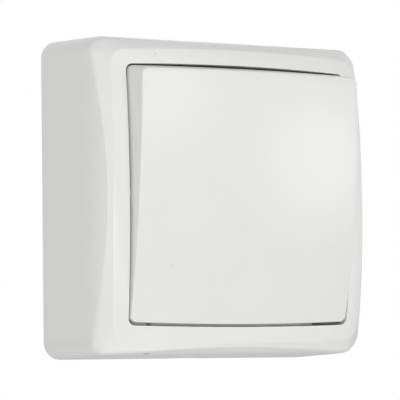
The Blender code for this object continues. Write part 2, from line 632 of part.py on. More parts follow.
def strip_outlines(extra=0.0):
    # Plan outlines of the terminal strips as (x, z), grown all round by the extra width.
    half = STRIP_HALF_WIDTH + extra
    pad = PAD_SIZE / 2 + extra
    x, z = TERMINALS["common"]
    end = FULCRUM_HALF_WIDTH + extra
    leg_left = x + PAD_SIZE / 2 - extra
    leg_right = leg_left + 2 * half
    common = [(end, -half), (end, half), (leg_left, half), (leg_left, z + pad), (x - pad, z + pad),
              (x - pad, z - pad), (leg_right, z - pad), (leg_right, -half)]
    outlines = {"common": common}
    for word, side in (("upper", 1), ("lower", -1)):
        x, z = TERMINALS[word]
        arm = side * CONTACT_ARM
        outlines[word] = [(-half, arm - half), (x - pad, arm - half), (x - pad, z - pad), (x + pad, z - pad),
                          (x + pad, z + pad), (x - pad, z + pad), (x - pad, arm + half), (-half, arm + half)]
    return outlines


def drill(obj, name, radius, low, high, x, z, sides=FINE_SIDES):
    cut(obj, turned(name, [(radius, low), (radius, high)], x, z, sides))


def wire_window(name, word, low, high):
    # The way in for a wire, through the wall beside a terminal.
    x, z = TERMINALS[word]
    half = CLAMP_SIZE / 2
    outside = math.copysign(MECHANISM_HALF_HEIGHT + BOOLEAN_REACH, z)
    return prism(name, rectangle(x - half, x + half, z, outside), low, high)


def mechanism_outline():
    return rounded_rectangle(MECHANISM_HALF_WIDTH, MECHANISM_HALF_HEIGHT, MECHANISM_CORNER_RADIUS)


def make_mechanism_base(mat):
    base = prism("mechanism_base", mechanism_outline(), MECHANISM_BACK, SPLIT_DEPTH, mat=mat)
    through = SPLIT_DEPTH + BOOLEAN_REACH
    for word, outline in strip_outlines(TOUCH_GAP).items():
        cut(base, prism(f"{word}_strip_recess", outline, RECESS_FLOOR, through))
        x, z = TERMINALS[word]
        drill(base, f"{word}_screw_tail", STRIP_HOLE_RADIUS, TERMINAL_SCREW_END - TOUCH_GAP, through, x, z)
        cut(base, wire_window(f"{word}_wire_groove", word, STRIP_FRONT, through))
    back = MECHANISM_BACK - BOOLEAN_REACH
    for word, x in (("left", -MECHANISM_SCREW_X), ("right", MECHANISM_SCREW_X)):
        drill(base, f"{word}_base_hole", MECHANISM_HOLE_RADIUS, back, through, x, 0.0)


def make_mechanism_cover(mat):
    cover = prism("mechanism_cover", mechanism_outline(), COVER_BACK, MECHANISM_FRONT, mat=mat)
    low = COVER_BACK - BOOLEAN_REACH
    high = MECHANISM_FRONT + BOOLEAN_REACH
    channel = rounded_rectangle(CHANNEL_HALF_WIDTH, CHANNEL_HALF_HEIGHT, EDGE_ROUND, steps=1)
    cut(cover, prism("contact_channel", channel, low, high))
    for word, place in TERMINALS.items():
        well = rounded_rectangle(WELL_HALF, WELL_HALF, EDGE_ROUND, place, steps=1)
        cut(cover, prism(f"{word}_well", well, low, high))
        cut(cover, wire_window(f"{word}_wire_window", word, low, CLAMP_BACK))
    root = MECHANISM_FRONT - BOOLEAN_REACH
    for word, side in (("left", -1), ("right", 1)):
        drill(cover, f"{word}_cover_hole", MECHANISM_HOLE_RADIUS, low, high, side * MECHANISM_SCREW_X, 0.0)
        ear = round_topped(root, PIVOT_DEPTH, EAR_RADIUS)
        join(cover, prism(f"{word}_ear", ear, side * EAR_INNER, side * EAR_OUTER, "x"))
        hole = circle(EAR_HOLE_RADIUS, ROUND_SIDES, (PIVOT_DEPTH, 0.0))
        cut(cover, prism(f"{word}_ear_hole", hole, side * (EAR_INNER - BOOLEAN_REACH / 2),
                         side * (EAR_OUTER + BOOLEAN_REACH), "x"))


def rivet(name, seat, face, shank_end, z, mat, parent=None):
    # A contact rivet with a low crown, its head between seat and face and its shank to shank_end.
    rim = seat + (face - seat) * RIVET_RIM_SHARE
    shoulder = seat + (face - seat) * RIVET_SHOULDER_SHARE
    profile = [(RIVET_SHANK_RADIUS, shank_end), (RIVET_SHANK_RADIUS, seat), (RIVET_HEAD_RADIUS, seat),
               (RIVET_HEAD_RADIUS, rim), (RIVET_HEAD_RADIUS * RIVET_CROWN_SHARE, shoulder), (0.0, face)]
    turned(name, profile, 0.0, z, FINE_SIDES, mat=mat, parent=parent)


def make_terminals(brass, silver):
    outlines = strip_outlines()
    for word, outline in outlines.items():
        strip = prism(f"{word}_terminal", outline, STRIP_BACK, STRIP_FRONT, mat=brass)
        x, z = TERMINALS[word]
        low = STRIP_BACK - BOOLEAN_REACH
        high = STRIP_FRONT + BOOLEAN_REACH
        drill(strip, f"{word}_pad_hole", STRIP_HOLE_RADIUS, low, high, x, z)
        if word == "common":
            ridge = round_topped(STRIP_FRONT - BOOLEAN_REACH, FULCRUM_DEPTH, FULCRUM_RADIUS)
            join(strip, prism("fulcrum_ridge", ridge, -FULCRUM_HALF_WIDTH, FULCRUM_HALF_WIDTH, "x"))
        else:
            arm = math.copysign(CONTACT_ARM, z)
            drill(strip, f"{word}_rivet_hole", RIVET_HOLE_RADIUS, low, high, 0.0, arm)
            rivet(f"fixed_tip_{word}", FIXED_TIP_SEAT, FIXED_TIP_FACE, STRIP_BACK, arm, silver)


def make_moving_contact(brass, silver):
    # The see-saw hangs on an empty on its rocking axis; its top end is in while the rocker's top is out.
    axis = empty("contact_axis", point(0.0, FULCRUM_DEPTH, 0.0), -ROCK)
    end = CONTACT_ARM + CONTACT_END
    length = CONTACT_SIDE_HALF_LENGTH
    outline = [(CONTACT_HALF_WIDTH, -length), (CONTACT_HALF_WIDTH, length),
               (STRIP_HALF_WIDTH, length + TOUCH_GAP), (STRIP_HALF_WIDTH, end - EDGE_ROUND),
               (STRIP_HALF_WIDTH - EDGE_ROUND, end)]
    outline += [(-x, z) for x, z in reversed(outline)]
    outline += [(-x, -z) for x, z in outline if z > length]
    strip = prism("moving_contact", outline, CONTACT_BACK, CONTACT_FRONT, mat=brass, parent=axis)
    inner = CONTACT_HALF_WIDTH - CONTACT_SIDE_THICKNESS
    for word, side in (("left", -1), ("right", 1)):
        wing = rectangle(side * inner, side * CONTACT_HALF_WIDTH, -length, length)
        join(strip, prism(f"{word}_contact_side", wing, CONTACT_BACK - CONTACT_SIDE_HEIGHT,
                          CONTACT_BACK + CONTACT_THICKNESS / 2))
    for word, side in (("upper", 1), ("lower", -1)):
        arm = side * CONTACT_ARM
        drill(strip, f"moving_{word}_hole", RIVET_HOLE_RADIUS, CONTACT_BACK - BOOLEAN_REACH,
              CONTACT_FRONT + BOOLEAN_REACH, 0.0, arm)
        rivet(f"moving_tip_{word}", MOVING_TIP_SEAT, MOVING_TIP_FACE, CONTACT_FRONT, arm, silver, axis)


def screw(name, end, seat, shank_radius, head_radius, head_height, x, z, mat):
    # A slotted pan head screw along the depth, its thread drawn plain.
    top = seat + head_height
    profile = [(shank_radius * SCREW_TIP_SHARE, end), (shank_radius, end + shank_radius * SCREW_POINT_SHARE),
               (shank_radius, seat), (head_radius, seat), (head_radius, seat + head_height * SCREW_RIM_SHARE),
               (head_radius * SCREW_TOP_SHARE, top)]
    body = turned(name, profile, x, z, mat=mat)
    half = SCREW_SLOT_WIDTH / 2
    reach = head_radius + BOOLEAN_REACH
    slot = rectangle(x - half, x + half, z - reach, z + reach)
    cut(body, prism(f"{name}_slot", slot, top - SCREW_SLOT_DEPTH, top + BOOLEAN_REACH))


def make_terminal_clamps(steel, screw_steel):
    for word, (x, z) in TERMINALS.items():
        outline = rounded_rectangle(CLAMP_SIZE / 2, CLAMP_SIZE / 2, EDGE_ROUND, (x, z), steps=1)
        plate = prism(f"clamp_plate_{word}", outline, CLAMP_BACK, CLAMP_FRONT, mat=steel)
        drill(plate, f"{word}_clamp_hole", STRIP_HOLE_RADIUS, CLAMP_BACK - BOOLEAN_REACH,
              CLAMP_FRONT + BOOLEAN_REACH, x, z)
        screw(f"terminal_screw_{word}", TERMINAL_SCREW_END, CLAMP_FRONT + TOUCH_GAP, TERMINAL_SCREW_RADIUS,
              TERMINAL_HEAD_RADIUS, TERMINAL_HEAD_HEIGHT, x, z, screw_steel)


def make_mechanism_screws(mat):
    for word, side in (("left", -1), ("right", 1)):
        screw(f"mechanism_screw_{word}", BOSS_SKIN + TOUCH_GAP, MECHANISM_FRONT + TOUCH_GAP,
              MECHANISM_SCREW_RADIUS, MECHANISM_HEAD_RADIUS, MECHANISM_HEAD_HEIGHT,
              side * MECHANISM_SCREW_X, 0.0, mat)


def cap_face(outline, share, below):
    # A loop on the rocker's dome, or the given distance behind it, placed from the tilt axis.
    lift = ROCKER_PROUD - PIVOT_DEPTH - below
    return [point(share * x, dome_depth(share * x, share * z) + lift, share * z) for x, z in outline]


def stiffener_outline(z):
    # A rib across the cap's underside from skirt to skirt, as (x, depth), its root inside the cap.
    reach = ROCKER_HALF_CORNER * ROCKER_STRETCH - CAP_THICKNESS / 2
    root = []
    for i in range(STIFFENER_STEPS + 1):
        x = reach * (2 * i / STIFFENER_STEPS - 1)
        root.append((x, dome_depth(x, z) + ROCKER_PROUD - PIVOT_DEPTH - CAP_THICKNESS / 2))
    return root + [(x, depth - STIFFENER_HEIGHT) for x, depth in reversed(root)]


def rocker_outline(inset, radius=ROCKER_CORNER_RADIUS):
    # The rocker's outline, a little wider than high, at a distance inside its skirt.
    square = bulged_square(ROCKER_HALF_MIDDLE - inset, ROCKER_HALF_CORNER - inset, radius, BODY_HALF)
    return [(x * ROCKER_STRETCH, z) for x, z in square]


def make_rocker_cap(mat, axis):
    quarter_round = ROCKER_EDGE_ROUND * (1 - math.sqrt(0.5))
    outside = rocker_outline(0.0)
    softened = rocker_outline(quarter_round, ROCKER_CORNER_RADIUS - quarter_round)
    face = rocker_outline(ROCKER_EDGE_ROUND, ROCKER_CORNER_RADIUS - ROCKER_EDGE_ROUND)
    inside = rocker_outline(CAP_THICKNESS, ROCKER_CORNER_RADIUS / 2)
    skirt_end = -SKIRT_LENGTH
    loops = [cap_face(inside, share, CAP_THICKNESS) for share in CAP_UNDER_SHARES]
    loops.append(cap_face(inside, 1.0, CAP_THICKNESS))
    loops.append([point(x, skirt_end, z) for x, z in inside])
    loops.append([point(x, skirt_end, z) for x, z in outside])
    loops.append(cap_face(outside, 1.0, ROCKER_EDGE_ROUND))
    loops.append(cap_face(softened, 1.0, quarter_round))
    loops.append(cap_face(face, 1.0, 0.0))
    loops += [cap_face(face, share, 0.0) for share in CAP_FACE_SHARES]
    cap = loft("rocker_cap", loops, closed=False, mat=mat, parent=axis)

    nose_top = -CRADLE_HALF_THICKNESS - TOUCH_GAP
    for word, side in (("upper", 1), ("lower", -1)):
        clip = [(-CLIP_END, side * CLIP_OUTER), (-CLIP_END, side * CLIP_INNER),
                (nose_top, side * (CLIP_INNER - CLIP_NOSE)), (nose_top, side * CLIP_INNER),
                (CAP_ROOT, side * CLIP_INNER), (CAP_ROOT, side * CLIP_OUTER)]
        join(cap, prism(f"{word}_clip", clip, -CLIP_HALF_WIDTH, CLIP_HALF_WIDTH, "x"))
        middle = side * STIFFENER_OFFSET
        half = STIFFENER_THICKNESS / 2
        join(cap, prism(f"{word}_stiffener", stiffener_outline(middle), middle - half, middle + half, "z"))
    for word, side in (("left", -1), ("right", 1)):
        middle = side * SUPPORT_RIB_OFFSET
        half = SUPPORT_RIB_THICKNESS / 2
        end = CLIP_INNER - SUPPORT_RIB_INSET
        join(cap, prism(f"{word}_support_rib", rectangle(middle - half, middle + half, -end, end),
                        CRADLE_HALF_THICKNESS + TOUCH_GAP, CAP_ROOT))


def make_cradle(mat, axis):
    outline = rounded_rectangle(CRADLE_HALF_WIDTH, CRADLE_HALF_HEIGHT, EDGE_ROUND, steps=1)
    half = CRADLE_HALF_THICKNESS
    cradle = prism("rocker_cradle", outline, -half, half, mat=mat, parent=axis)
    for word, side in (("left", -1), ("right", 1)):
        trunnion = circle(TRUNNION_RADIUS, ROUND_SIDES)
        start = CRADLE_HALF_WIDTH - BOOLEAN_REACH
        join(cradle, prism(f"{word}_trunnion", trunnion, side * start, side * EAR_OUTER, "x"))
    join(cradle, turned("spring_tube", [(TUBE_RADIUS, TUBE_END), (TUBE_RADIUS, 0.0)], 0.0, 0.0))
    reach = TUBE_RADIUS + GUSSET_REACH
    gusset = [(0.0, -reach), (0.0, reach), (-half, reach), (-reach, TUBE_BORE_RADIUS),
              (-reach, -TUBE_BORE_RADIUS), (-half, -reach)]
    join(cradle, prism("tube_gussets", gusset, -GUSSET_THICKNESS / 2, GUSSET_THICKNESS / 2, "x"))
    open_end = TUBE_END - BOOLEAN_REACH
    drill(cradle, "spring_bore", TUBE_BORE_RADIUS, open_end, TUBE_CEILING, 0.0, 0.0, ROUND_SIDES)


def make_plunger(mat, axis):
    profile = [(0.0, PIN_LENGTH - GUIDE_START), (PIN_RADIUS, PIN_LENGTH - GUIDE_START),
               (PIN_RADIUS, -GUIDE_START), (PLUNGER_RADIUS, -GUIDE_START), (PLUNGER_RADIUS, -GUIDE_END)]
    for i in range(PLUNGER_TIP_STEPS):
        angle = math.pi / 2 * i / PLUNGER_TIP_STEPS
        depth = -TIP_CENTRE - PLUNGER_TIP_RADIUS * math.sin(angle)
        profile.append((PLUNGER_TIP_RADIUS * math.cos(angle), depth))
    profile.append((0.0, -TIP_CENTRE - PLUNGER_TIP_RADIUS))
    turned("plunger", profile, 0.0, 0.0, mat=mat, parent=axis)


def make_spring(mat, axis):
    # The wire's end turns lie flat for half a turn against the tube's end and the plunger.
    top = TUBE_CEILING - TOUCH_GAP - SPRING_WIRE_RADIUS
    bottom = -GUIDE_START + TOUCH_GAP + SPRING_WIRE_RADIUS
    curve = bpy.data.curves.new("plunger_spring", "CURVE")
    curve.dimensions = "3D"
    curve.bevel_depth = SPRING_WIRE_RADIUS
    curve.bevel_resolution = 1
    curve.use_fill_caps = True
    wire = curve.splines.new("POLY")
    count = SPRING_TURNS * SPRING_STEPS
    wire.points.add(count)
    for i in range(count + 1):
        turns = i / SPRING_STEPS
        angle = 2 * math.pi * turns
        climb = min(max((turns - 0.5) / (SPRING_TURNS - 1), 0.0), 1.0)
        depth = top + (bottom - top) * climb
        place = point(SPRING_RADIUS * math.cos(angle), depth, SPRING_RADIUS * math.sin(angle))
        wire.points[i].co = (*place, 1.0)
    curve.materials.append(mat)
    spring = bpy.data.objects.new("plunger_spring", curve)
    spring.parent = axis
    bpy.context.scene.collection.objects.link(spring)


def main():
    clear_scene()
    white = material("white_moulding", (0.86, 0.86, 0.85), 0.3)
    plate_white = material("base_moulding", (0.80, 0.80, 0.78), 0.5)
    mechanism_grey = material("mechanism_moulding", (0.62, 0.62, 0.60), 0.5)
    cradle_white = material("cradle_moulding", (0.75, 0.75, 0.73), 0.4)
    plunger_plastic = material("plunger_moulding", (0.90, 0.87, 0.78), 0.35)
    brass = material("terminal_brass", (0.72, 0.53, 0.25), 0.35, 1.0)
    silver = material("contact_silver", (0.82, 0.82, 0.80), 0.3, 1.0)
    steel = material("zinc_plated_steel", (0.66, 0.67, 0.69), 0.35, 1.0)
    spring_steel = material("spring_steel", (0.50, 0.50, 0.52), 0.3, 1.0)

    make_housing(white)
    make_base_plate(plate_white)
    make_mechanism_base(mechanism_grey)
    make_mechanism_cover(mechanism_grey)
    make_terminals(brass, silver)
    make_terminal_clamps(steel, steel)
    make_mechanism_screws(steel)
    make_moving_contact(brass, silver)

    # The rocker's pieces hang on an empty on the tilt axis, with the top out.
    axis = empty("rocker_axis", point(0.0, PIVOT_DEPTH, 0.0), TILT)
    make_rocker_cap(white, axis)
    make_cradle(cradle_white, axis)
    make_plunger(plunger_plastic, axis)
    make_spring(spring_steel, axis)


main()
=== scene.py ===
# Looks of the surface mounted light switch: fine meshes of its housing and rocker, a finish for
# every piece, and the studio round them.
#
# The wall is the plane y = 0, the front looks towards -Y, X runs to the right and Z up. Depth is
# the distance from the wall. Sizes are in metres and angles in degrees.

import json
import math

import bmesh
import bpy
import numpy as np
from mathutils import Matrix, Vector


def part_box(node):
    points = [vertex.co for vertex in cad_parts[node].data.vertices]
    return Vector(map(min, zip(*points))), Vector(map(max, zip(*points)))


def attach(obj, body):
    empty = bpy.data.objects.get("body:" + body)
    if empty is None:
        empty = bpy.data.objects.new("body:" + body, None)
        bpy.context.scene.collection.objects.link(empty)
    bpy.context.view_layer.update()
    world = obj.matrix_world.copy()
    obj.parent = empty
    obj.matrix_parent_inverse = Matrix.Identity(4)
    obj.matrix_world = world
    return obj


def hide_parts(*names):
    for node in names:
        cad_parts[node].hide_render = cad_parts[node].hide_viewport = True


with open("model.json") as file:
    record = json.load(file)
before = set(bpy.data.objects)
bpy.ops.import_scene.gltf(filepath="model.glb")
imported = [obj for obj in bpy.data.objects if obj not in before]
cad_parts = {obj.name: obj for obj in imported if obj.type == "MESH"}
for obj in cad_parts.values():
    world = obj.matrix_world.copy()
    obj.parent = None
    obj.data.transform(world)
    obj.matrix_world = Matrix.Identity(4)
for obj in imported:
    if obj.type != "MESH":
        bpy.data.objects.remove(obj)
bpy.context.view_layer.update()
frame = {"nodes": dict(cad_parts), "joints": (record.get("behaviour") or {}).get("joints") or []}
rocker_joint = next(j for j in frame["joints"] if j["name"] == "rocker_tilt")

# Housing, outside. A pair of half widths belongs to sides that bow out: the first is at a side's
# middle, and to the second it would fall at the distance BODY_HALF along it.
BODY_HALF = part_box("housing")[1].x
FRONT_DEPTH = 0.0319          # at the dome's centre, over the opening
FRONT_DROP = 0.00364          # how far the dome falls over half a side
BACK_CORNER_RADIUS = 0.0043
BEVEL_START_MIDDLE = 0.02728  # depth where the wall meets the bevel, at the middle of a side
BEVEL_START_CORNER = 0.02162  # the same at a corner
WALL_DRAFT = 0.00106          # how far the wall leans in over that depth
WALL_DRAW = 0.00143           # how far its barrel draws in further at its front end
WALL_ROLL_START = 0.72        # the share of that depth where the barrel begins
RING_HALF = (0.03454, 0.03358)      # the ring's outer edge
RING_CORNER_RADIUS = 0.0040
RING_DROP = 0.00032           # how far the ring's outer edge lies behind the dome
OPENING_HALF = (0.03080, 0.03000)
OPENING_CORNER_RADIUS = 0.0017
BEVEL_BLEND = 0.30            # share of the bevel's width that rolls over into the wall
RING_EDGE = 0.00022           # rounding of the ring's outer edge
OPENING_EDGE = 0.00018
BACK_EDGE = 0.0001

# Housing, inside
WALL_THICKNESS = 0.0022
FRONT_THICKNESS = 0.0024
LIP_DEPTH = 0.02414
LIP_THICKNESS = 0.0016
LIP_EDGE = 0.00015
LEDGE_DEPTH = 0.01715
LEDGE_THICKNESS = 0.0016
LEDGE_REACH = 0.0040
LEDGE_HALF_LENGTH = 0.0260
LEDGE_NOTCH_WIDTH = 0.0012
LEDGE_NOTCH_OFFSET = 0.0200
RIB_PROUD = 0.00035
RIB_HEIGHT = 0.0030
KNOCKOUT_WIDTH = 0.0160
KNOCKOUT_DEPTH = 0.0150
KNOCKOUT_SKIN = 0.0008
PRY_SLOT_WIDTH = 0.0080
PRY_SLOT_DEPTH = 0.0014
SNAP_ARM_OFFSET = 0.0180
SNAP_RECESS_WIDTH = 0.0086
SNAP_RECESS_DEPTHS = (0.0067, 0.0093)
SNAP_RECESS_HALF = 0.0366
OVERRUN = 0.0005              # how far a cutter or a joined piece runs past the face it meets
JOIN_STEP = 0.0003            # how far a joined piece keeps back from the faces beside it

# Rocker
ROCKER_HALF = (0.02990, 0.02927)
ROCKER_STRETCH = 1.01         # its width over its height
ROCKER_PROUD = 0.00327        # how far its dome stands above the ring's
ROCKER_CORNER_RADIUS = 0.0015
ROCKER_EDGE = 0.0003          # rounding round the face
ROCKER_TOP_EDGE = 0.00040     # the same along the top
ROCKER_TOP_RISE = 0.00012     # how far the top's outline is raised
ROCKER_TOP_LEAN = 0.00038     # how far the top's wall leans in towards the face
ROCKER_LEAN_HEIGHT = 0.0065   # the height over which it leans
ROCKER_TOP_START = 0.80       # the share of the half height where the top's own shape begins
ROCKER_TOP_SPAN = 0.15        # the share over which it comes in full
SKIRT_LENGTH = 0.0050         # from the tilt axis back to the skirt's end
SKIRT_EDGE = 0.00025
CAP_THICKNESS = 0.0020
CAP_INNER_CORNER = 0.00075
PIVOT_DEPTH = -rocker_joint["pos_m"][1]
TILT = math.radians(rocker_joint["range_deg"][1] / 2)
CRADLE_HALF_THICKNESS = 0.0012
CRADLE_GAP = 0.0003
CLIP_INNER = 0.0083
CLIP_THICKNESS = 0.0013
CLIP_HALF_WIDTH = 0.0050
CLIP_NOSE = 0.0008
CLIP_NOSE_HEIGHT = 0.0009
SUPPORT_RIB_OFFSET = 0.0050
SUPPORT_RIB_THICKNESS = 0.0012
SUPPORT_RIB_END = 0.0074
STIFFENER_OFFSET = 0.0150
STIFFENER_THICKNESS = 0.0012
STIFFENER_HEIGHT = 0.0030

# Mesh fineness
SIDE_STEPS = 40
CORNER_STEPS = 16
WALL_ROWS = 22
INNER_WALL_ROWS = 8
BLEND_ROWS = 12
BEVEL_ROWS = 6
DOME_ROWS = 8
SKIRT_ROWS = 6
LEAN_ROWS = 3
EDGE_ROWS = 6
SMALL_EDGE_ROWS = 3
RING_EDGE_ROWS = 4
ROCKER_EDGE_ROWS = 8
FACE_ROWS = 26
FACE_SHARES = [1 - i / FACE_ROWS for i in range(1, FACE_ROWS)]
UNDERSIDE_SHARES = (0.1, 0.3, 0.5, 0.7, 0.9)
CENTRING_RIB_STEPS = 24
STIFFENER_STEPS = 16
SHARP_ANGLE = 32
FIT_ROUNDS = 20               # rounds that settle where a bowed side meets its corner's arc
ROLL_STEP = 0.00005           # a short way down the wall, for its direction where the roll starts
BACK_SHARE = 0.1              # the share of the wall that gives its direction at the back


# Outlines and profiles

def bulged_square(half, radius, growth=0.0):
    # A rounded square whose sides bow out, as an array of (x, z) points. The half width is half[0]
    # at the middle of a side and would fall to half[1] at the distance BODY_HALF along it.
    middle = half[0] + growth
    radius += growth
    fall = (half[1] - half[0]) / BODY_HALF ** 2
    t = middle - radius
    for _ in range(FIT_ROUNDS):
        lean = math.atan(-2 * fall * t)
        t = middle + fall * t * t + radius * (math.sin(lean) - math.cos(lean))
    centre = t - radius * math.sin(lean)
    quarter = []
    for i in range(SIDE_STEPS):
        s = t * (2 * i / SIDE_STEPS - 1)
        quarter.append((middle + fall * s * s, s))
    for i in range(CORNER_STEPS):
        angle = lean + (math.pi / 2 - 2 * lean) * i / CORNER_STEPS
        quarter.append((centre + radius * math.cos(angle), centre + radius * math.sin(angle)))
    side = np.array(quarter)
    turned = [side]
    for _ in range(3):
        side = np.stack([-side[:, 1], side[:, 0]], axis=1)
        turned.append(side)
    return np.concatenate(turned)


def placed(outline, depth):
    # Points (x, y, z) of an outline at one depth, or at a depth for each point.
    depths = np.broadcast_to(depth, len(outline))
    return np.stack([outline[:, 0], -depths, outline[:, 1]], axis=1)


def dome_depth(outline):
    return FRONT_DEPTH - FRONT_DROP * (outline ** 2).sum(axis=1) / BODY_HALF ** 2


def dome_depth_at(x, z):
    return FRONT_DEPTH - FRONT_DROP * (x * x + z * z) / BODY_HALF ** 2


def bevel_start(outline):
    # Depth where the wall ends, for each point of an outline.
    along = np.abs(outline).min(axis=1) / BODY_HALF
    return BEVEL_START_MIDDLE + (BEVEL_START_CORNER - BEVEL_START_MIDDLE) * along ** 2


def wall_points(outline, depth, draft=WALL_DRAFT):
    # The wall leans in with its depth and barrels over towards its front end.
    share = np.maximum(depth, 0.0) / BEVEL_START_MIDDLE
    barrel = np.maximum(share - WALL_ROLL_START, 0.0) / (1 - WALL_ROLL_START)
    draw = draft * share + WALL_DRAW * barrel ** 2
    return placed(outline * (1 - draw / BODY_HALF)[:, None], depth)


def edge(before, corner, after, size, rows=EDGE_ROWS):
    # Rows that round off a corner row between its neighbours, tangent to both sides.
    def towards(end):
        way = end - corner
        return corner + way * (size / np.linalg.norm(way, axis=1))[:, None]

    start = towards(before)
    end = towards(after)
    made = []
    for i in range(rows + 1):
        angle = math.pi / 2 * i / rows
        made.append(corner + (start - corner) * (1 - math.sin(angle))
                    + (end - corner) * (1 - math.cos(angle)))
    return made


def between(start, end, rows):
    # The rows between two rows, without them.
    return [start + (end - start) * i / rows for i in range(1, rows)]


def rolled(start, start_way, end, end_way, rows):
    # A smooth curve from start to end that leaves and arrives along the given unit ways.
    span = np.linalg.norm(end - start, axis=1)[:, None]
    made = []
    for i in range(rows + 1):
        t = i / rows
        a = 2 * t ** 3 - 3 * t ** 2 + 1
        b = t ** 3 - 2 * t ** 2 + t
        c = 3 * t ** 2 - 2 * t ** 3
        d = t ** 3 - t ** 2
        made.append(a * start + b * span * start_way + c * end + d * span * end_way)
    return made


def unit(ways):
    return ways / np.linalg.norm(ways, axis=1)[:, None]


# Meshes

def make_object(name, bm):
    bmesh.ops.recalc_face_normals(bm, faces=bm.faces)
    mesh = bpy.data.meshes.new(name)
    bm.to_mesh(mesh)
    bm.free()
    obj = bpy.data.objects.new(name, mesh)
    bpy.context.scene.collection.objects.link(obj)
    return obj


def skin(name, rows, closed):
    # A skin over rows of points that each run round in a ring. Closed joins the last row to the
    # first; otherwise both end rows are filled.
    bm = bmesh.new()
    rings = [[bm.verts.new(p) for p in row] for row in rows]
    pairs = list(zip(rings, rings[1:]))
    if closed:
        pairs.append((rings[-1], rings[0]))
    for near, far in pairs:
        for i in range(len(near)):
            j = (i + 1) % len(near)
            bm.faces.new((near[i], near[j], far[j], far[i]))
    if not closed:
        for ring in (rings[0], rings[-1]):
            middle = bm.verts.new(sum((v.co for v in ring), Vector()) / len(ring))
            for i in range(len(ring)):
                bm.faces.new((ring[i], ring[(i + 1) % len(ring)], middle))
    return make_object(name, bm)


def prism(name, outline, low, high, along="depth"):
    # An outline pushed along one axis: (x, z) along depth, (depth, z) along x, (x, depth) along z.
    bm = bmesh.new()
    ends = []
    for level in (low, high):
        ring = []
        for a, b in outline:
            if along == "depth":
                place = (a, -level, b)
            elif along == "x":
                place = (level, -a, b)
            else:
                place = (a, -b, level)
            ring.append(bm.verts.new(place))
        ends.append(ring)
    bm.faces.new(ends[0])
    bm.faces.new(ends[1])
    for i in range(len(outline)):
        j = (i + 1) % len(outline)
        bm.faces.new((ends[0][i], ends[0][j], ends[1][j], ends[1][i]))
    return make_object(name, bm)


def rectangle(x0, x1, y0, y1):
    return [(x0, y0), (x1, y0), (x1, y1), (x0, y1)]


def combined(obj, helpers):
    # Joins and cuts the helpers into the object for good, then removes them.
    for helper, operation in helpers:
        step = obj.modifiers.new(helper.name, "BOOLEAN")
        step.operation = operation
        step.solver = "EXACT"
        step.object = helper
    graph = bpy.context.evaluated_depsgraph_get()
    mesh = bpy.data.meshes.new_from_object(obj.evaluated_get(graph))
    obj.modifiers.clear()
    old = obj.data
    obj.data = mesh
    bpy.data.meshes.remove(old)
    for helper, _ in helpers:
        bpy.data.objects.remove(helper)


def smooth(obj):
    obj.data.shade_smooth()
    obj.data.set_sharp_from_angle(angle=math.radians(SHARP_ANGLE))


# Housing

def housing_rows():
    back = bulged_square((BODY_HALF, BODY_HALF), BACK_CORNER_RADIUS)
    ring = bulged_square(RING_HALF, RING_CORNER_RADIUS)
    opening = bulged_square(OPENING_HALF, OPENING_CORNER_RADIUS)
    lip = bulged_square(OPENING_HALF, OPENING_CORNER_RADIUS, LIP_THICKNESS)
    inner = bulged_square((BODY_HALF, BODY_HALF), BACK_CORNER_RADIUS, -WALL_THICKNESS)

    # Outer wall, bevel and ring
    start = bevel_start(back)
    ring_edge = placed(ring, dome_depth(ring) - RING_DROP)
    wall_end = wall_points(back, start)
    bevel = ring_edge - wall_end
    # The rounding between wall and bevel grows with the square of the bevel's length.
    bevel_length = np.linalg.norm(bevel, axis=1)
    roll = BEVEL_BLEND * bevel_length ** 2 / bevel_length.max()
    roll_start = start - roll
    roll_way = unit(wall_points(back, roll_start) - wall_points(back, roll_start - ROLL_STEP))
    roll_end = wall_end + unit(bevel) * roll[:, None]
    back_edge = wall_points(back, np.zeros(len(back)))
    inner_back = placed(inner, 0.0)
    near_back = wall_points(back, start * BACK_SHARE)
    rows = edge(inner_back, back_edge, near_back, BACK_EDGE, SMALL_EDGE_ROWS)
    for i in range(1, WALL_ROWS):
        rows.append(wall_points(back, roll_start * (1 - (1 - i / WALL_ROWS) ** 2)))
    rows += rolled(wall_points(back, roll_start), roll_way, roll_end, unit(bevel), BLEND_ROWS)
    dome = []
    for i, outline in enumerate(between(ring, opening, DOME_ROWS), 1):
        drop = RING_DROP * (1 - i / DOME_ROWS) ** 2
        dome.append(placed(outline, dome_depth(outline) - drop))
    ring_rows = edge(roll_end, ring_edge, dome[0], RING_EDGE, RING_EDGE_ROWS)
    rows += between(roll_end, ring_rows[0], BEVEL_ROWS)
    rows += ring_rows + dome

    # Opening and lip
    opening_edge = placed(opening, dome_depth(opening))
    lip_inside = placed(opening, LIP_DEPTH)
    lip_outside = placed(lip, LIP_DEPTH)
    root = placed(lip, dome_depth(lip) - FRONT_THICKNESS)
    rows += edge(dome[-1], opening_edge, lip_inside, OPENING_EDGE)
    rows += edge(opening_edge, lip_inside, lip_outside, LIP_EDGE, SMALL_EDGE_ROWS)
    rows += edge(lip_inside, lip_outside, root, LIP_EDGE, SMALL_EDGE_ROWS)

    # Inside of the front and the wall
    under = bulged_square(RING_HALF, RING_CORNER_RADIUS, -WALL_THICKNESS / 2)
    rows += [root, placed(under, dome_depth(under) - FRONT_THICKNESS)]
    inner_start = bevel_start(inner) - WALL_THICKNESS
    for i in range(INNER_WALL_ROWS):
        rows.append(wall_points(inner, inner_start * (1 - i / INNER_WALL_ROWS), 0.0))
    near_back = wall_points(inner, inner_start * BACK_SHARE, 0.0)
    rows += edge(near_back, inner_back, back_edge, BACK_EDGE, SMALL_EDGE_ROWS)
    return rows


